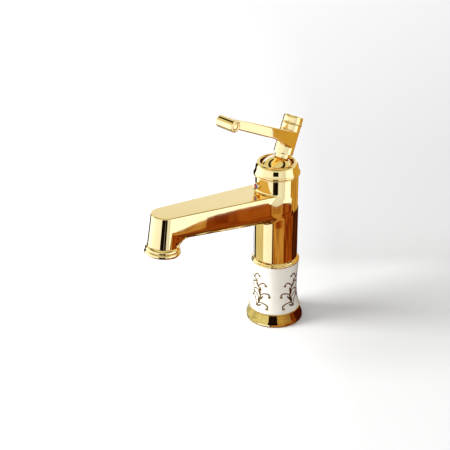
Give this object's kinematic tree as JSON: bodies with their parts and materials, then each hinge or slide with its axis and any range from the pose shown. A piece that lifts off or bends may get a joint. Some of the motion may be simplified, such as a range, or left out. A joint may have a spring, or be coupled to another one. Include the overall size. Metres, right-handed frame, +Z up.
{
  "type": "basin mixer faucet",
  "caption": "Single-lever bathroom basin mixer with a straight swelling spout, gilt ceramic sleeve, domed bonnet and a T-grip lever over a ceramic disc cartridge.",
  "frame": {"origin": "centre of the deck face, where the foot and the shank stand on the basin", "axes": "+Z up the column, -Y along the spout, X across it"},
  "size_m": [0.0548, 0.172, 0.2272],
  "materials": {
    "gold_plating": "polished gold plating on brass",
    "glazed_ceramic": "glazed white with fired gilt scrolls",
    "black_rubber": "moulded EPDM, satin",
    "white_plastic": "moulded acetal, satin",
    "grey_plastic": "moulded acetal, satin",
    "alumina_ceramic": "lapped alumina",
    "steel": "turned stainless steel",
    "raw_brass": "machined brass, unplated",
    "red_plastic": "gloss red",
    "blue_plastic": "gloss blue"
  },
  "bodies": {
    "root": {"base_gasket": "black_rubber", "base_flange": "gold_plating", "sleeve_washers": "black_rubber", "ceramic_sleeve": "glazed_ceramic", "trim_ring": "gold_plating", "faucet_body": "gold_plating", "index_button": "gold_plating", "hot_mark": "red_plastic", "cold_mark": "blue_plastic", "floor_seals": "black_rubber", "cartridge_base": "grey_plastic", "disc_seals": "black_rubber", "fixed_disc": "alumina_ceramic", "cartridge_housing": "white_plastic", "cartridge_nut": "raw_brass", "bonnet_o_ring": "black_rubber", "bonnet": "gold_plating", "outlet_ring": "gold_plating", "aerator_insert": "white_plastic", "aerator_strainer": "grey_plastic", "aerator_gasket": "black_rubber"},
    "rotor": {"rotor": "grey_plastic", "lever_pin": "steel"},
    "disc": {"disc_carrier": "white_plastic", "moving_disc": "alumina_ceramic"},
    "handle": {"spindle": "steel", "dome_cap": "gold_plating", "stem_collar": "gold_plating", "handle_lever": "gold_plating", "handle_screw": "steel", "hub_cap": "gold_plating", "grip_bar": "gold_plating", "grip_end_caps": "gold_plating"}
  },
  "joints": [
    {"name": "temperature_swivel", "type": "hinge", "parent": "root", "child": "rotor", "pos_m": [0, 0, 0.14], "axis": [0, 0, 1], "range_deg": [-57, 33]},
    {"name": "flow_lift", "type": "hinge", "parent": "rotor", "child": "handle", "pos_m": [0, 0, 0.1515], "axis": [-0.9781, -0.2079, 0], "range_deg": [-22.8, 3.2]},
    {"name": "disc_slide", "type": "slide", "parent": "rotor", "child": "disc", "axis": [0.2079, -0.9781, 0], "range_m": [-0.0044, 0.0007]}
  ],
  "couplings": [
    {"joint": "disc_slide", "follows": "flow_lift", "m_per_rad": 0.0107}
  ]
}
